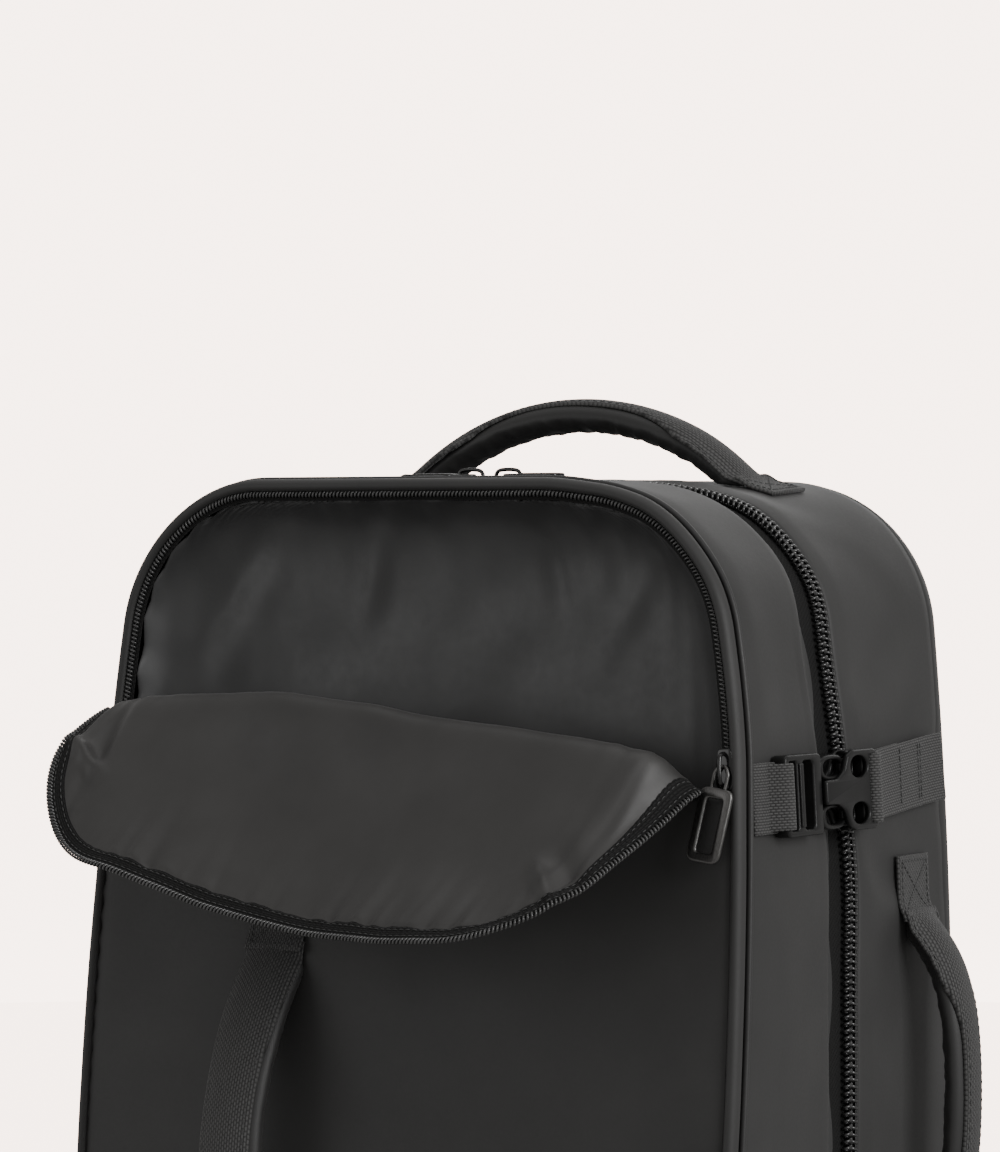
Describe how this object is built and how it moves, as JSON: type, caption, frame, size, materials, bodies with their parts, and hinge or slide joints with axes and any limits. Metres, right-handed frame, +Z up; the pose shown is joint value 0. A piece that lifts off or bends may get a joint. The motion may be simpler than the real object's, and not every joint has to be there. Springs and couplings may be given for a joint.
{
  "type": "travel backpack",
  "caption": "Soft travel backpack with a U-zipped front pocket, book-style main opening, carry handles, a side compression buckle and padded shoulder straps.",
  "frame": {"origin": "on the plane of the base, on the closing plane of the main zip, midway between the two sides", "axes": "+Z up along the bag's height, -Y towards the front face, +X towards the right side seen from the front, which is the wearer's right"},
  "size_m": [0.3051, 0.2874, 0.483],
  "materials": {
    "shell": "matte coated fabric with a fine grain",
    "piping": "matte wrapped cord",
    "flap": "satin lining on the inner side, coated fabric outside",
    "lining": "satin woven lining",
    "back_mesh": "spacer mesh",
    "webbing": "ribbed woven webbing",
    "zip_tape": "twill tape",
    "zip_teeth": "glossy nylon coil",
    "buckle_plastic": "satin moulded acetal",
    "slider_metal": "gloss black",
    "pull_metal": "brushed gunmetal",
    "stiffener_sheet": "plain sheet"
  },
  "bodies": {
    "rear": {"rear_gusset": "shell", "back_panel": "back_mesh", "back_stiffener": "stiffener_sheet", "base_stiffener": "stiffener_sheet", "back_pad_right": "back_mesh", "back_pad_left": "back_mesh", "lumbar_pad": "back_mesh", "laptop_sleeve": "lining", "laptop_gusset_right": "lining", "laptop_gusset_left": "lining", "laptop_strap": "webbing", "main_zip_rear_coil": "zip_teeth", "main_zip_rear_tape": "zip_tape", "side_hinge_fabric": "shell", "top_handle_ends": "webbing", "side_handle_ends": "webbing", "buckle_female": "buckle_plastic", "compression_webbing_rear": "webbing", "strap_yoke_right": "webbing", "strap_yoke_left": "webbing", "strap_anchor_right": "shell", "strap_anchor_left": "shell"},
    "front": {"front_panel": "shell", "front_gusset": "shell", "front_piping": "piping", "pocket_divider": "lining", "pocket_zip_fixed_chain": "zip_teeth", "main_zip_front_coil": "zip_teeth", "main_zip_front_tape": "zip_tape", "front_handle_ends": "webbing", "compression_webbing_front": "webbing"},
    "flap": {"pocket_flap": "flap", "pocket_zip_flap_chain": "zip_teeth"},
    "pocket_zip_slider": {"pocket_slider": "slider_metal"},
    "pocket_zip_pull": {"pocket_pull_link": "slider_metal", "pocket_pull_tab": "pull_metal"},
    "zip_slider_left": {"main_slider_left": "slider_metal"},
    "zip_pull_left": {"main_pull_link_left": "slider_metal", "main_pull_tab_left": "slider_metal"},
    "zip_slider_right": {"main_slider_right": "slider_metal"},
    "zip_pull_right": {"main_pull_link_right": "slider_metal", "main_pull_tab_right": "slider_metal"},
    "top_handle": {"top_handle_webbing": "webbing", "top_handle_grip": "shell"},
    "side_handle": {"side_handle_webbing": "webbing", "side_handle_grip": "shell"},
    "front_handle": {"front_handle_webbing": "webbing", "front_handle_grip": "shell"},
    "male_buckle": {"buckle_male": "buckle_plastic"},
    "right_strap": {"shoulder_strap_right": "back_mesh", "strap_end_tab_right": "webbing", "ladder_lock_right": "buckle_plastic"},
    "right_lower_webbing": {"lower_webbing_right": "webbing"},
    "left_strap": {"shoulder_strap_left": "back_mesh", "strap_end_tab_left": "webbing", "ladder_lock_left": "buckle_plastic"},
    "left_lower_webbing": {"lower_webbing_left": "webbing"}
  },
  "joints": [
    {"name": "main_opening", "type": "hinge", "parent": "rear", "child": "front", "pos_m": [-0.1415, 0, 0.215], "axis": [0, 0, -1], "range_deg": [0, 180]},
    {"name": "flap_fold", "type": "hinge", "parent": "front", "child": "flap", "pos_m": [0, -0.08515, 0.3525], "axis": [-0.995, 0.0099, 0.0995], "range_deg": [-28, 125]},
    {"name": "pocket_zip_slide", "type": "slide", "parent": "front", "child": "pocket_zip_slider", "axis": [-0.072, 0.099, 0.9925], "range_m": [0, 0.032]},
    {"name": "pocket_pull_swing", "type": "hinge", "parent": "pocket_zip_slider", "child": "pocket_zip_pull", "pos_m": [0.12484, -0.08773, 0.3494], "axis": [-0.9974, 0, -0.0722], "range_deg": [0, 150]},
    {"name": "main_zip_slide_left", "type": "slide", "parent": "rear", "child": "zip_slider_left", "axis": [-1, 0, 0], "range_m": [0, 0.035]},
    {"name": "main_pull_swing_left", "type": "hinge", "parent": "zip_slider_left", "child": "zip_pull_left", "pos_m": [-0.0235, 0, 0.453], "axis": [0, 1, 0], "range_deg": [0, 150]},
    {"name": "main_zip_slide_right", "type": "slide", "parent": "rear", "child": "zip_slider_right", "axis": [1, 0, 0], "range_m": [0, 0.065]},
    {"name": "main_pull_swing_right", "type": "hinge", "parent": "zip_slider_right", "child": "zip_pull_right", "pos_m": [-0.007, 0, 0.453], "axis": [0, -1, 0], "range_deg": [0, 150]},
    {"name": "top_handle_swing", "type": "hinge", "parent": "rear", "child": "top_handle", "pos_m": [0, 0.044, 0.4562], "axis": [1, 0, 0], "range_deg": [-30, 30], "stiffness_Nm_per_rad": 0.25},
    {"name": "side_handle_swing", "type": "hinge", "parent": "rear", "child": "side_handle", "pos_m": [0.1447, 0.05, 0.225], "axis": [0, 0, 1], "range_deg": [-25, 25], "stiffness_Nm_per_rad": 0.25},
    {"name": "front_handle_swing", "type": "hinge", "parent": "front", "child": "front_handle", "pos_m": [-0.051, -0.1061, 0.2056], "axis": [0, 0.0995, 0.995], "range_deg": [-25, 25], "stiffness_Nm_per_rad": 0.25},
    {"name": "buckle_release", "type": "slide", "parent": "front", "child": "male_buckle", "axis": [0, -1, 0], "range_m": [0, 0.025]},
    {"name": "shoulder_strap_swing_right", "type": "hinge", "parent": "rear", "child": "right_strap", "pos_m": [0.055, 0.1056, 0.403], "axis": [1, 0, 0], "range_deg": [0, 10]},
    {"name": "lower_webbing_turn_right", "type": "hinge", "parent": "rear", "child": "right_lower_webbing", "pos_m": [0.108, 0.1088, 0.048], "axis": [-1, 0, 0], "range_deg": [0, 34]},
    {"name": "shoulder_strap_swing_left", "type": "hinge", "parent": "rear", "child": "left_strap", "pos_m": [-0.055, 0.1056, 0.403], "axis": [1, 0, 0], "range_deg": [0, 10]},
    {"name": "lower_webbing_turn_left", "type": "hinge", "parent": "rear", "child": "left_lower_webbing", "pos_m": [-0.108, 0.1088, 0.048], "axis": [-1, 0, 0], "range_deg": [0, 34]}
  ],
  "couplings": [
    {"joint": "lower_webbing_turn_right", "follows": "shoulder_strap_swing_right", "ratio": 3.35},
    {"joint": "lower_webbing_turn_left", "follows": "shoulder_strap_swing_left", "ratio": 3.35}
  ]
}
